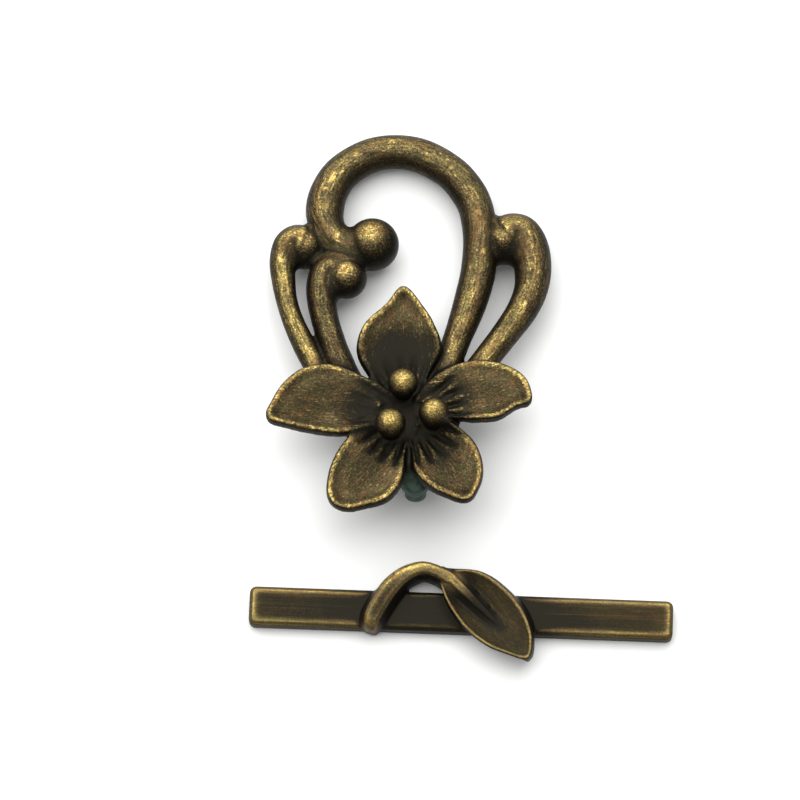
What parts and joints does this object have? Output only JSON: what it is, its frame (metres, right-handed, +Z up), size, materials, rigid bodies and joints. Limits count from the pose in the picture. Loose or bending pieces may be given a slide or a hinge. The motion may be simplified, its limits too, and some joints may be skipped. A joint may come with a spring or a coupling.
{
  "type": "toggle clasp",
  "caption": "Jewellery toggle clasp in antique bronze: a flower whose scrolled tendrils form the loop, and a flat bar with an arched stem and leaf.",
  "frame": {"origin": "middle of the two halves' footprint, on the surface they lie on", "axes": "+Y from the bar towards the top of the loop, +X along the bar to the right, +Z up"},
  "size_m": [0.035, 0.0457, 0.0081],
  "materials": {
    "antique_bronze": "antique bronze plating on cast zinc alloy, blackened and rubbed back on the high spots"
  },
  "bodies": {
    "root": {"flower_ring": "antique_bronze", "leaf_bar": "antique_bronze"}
  },
  "joints": []
}
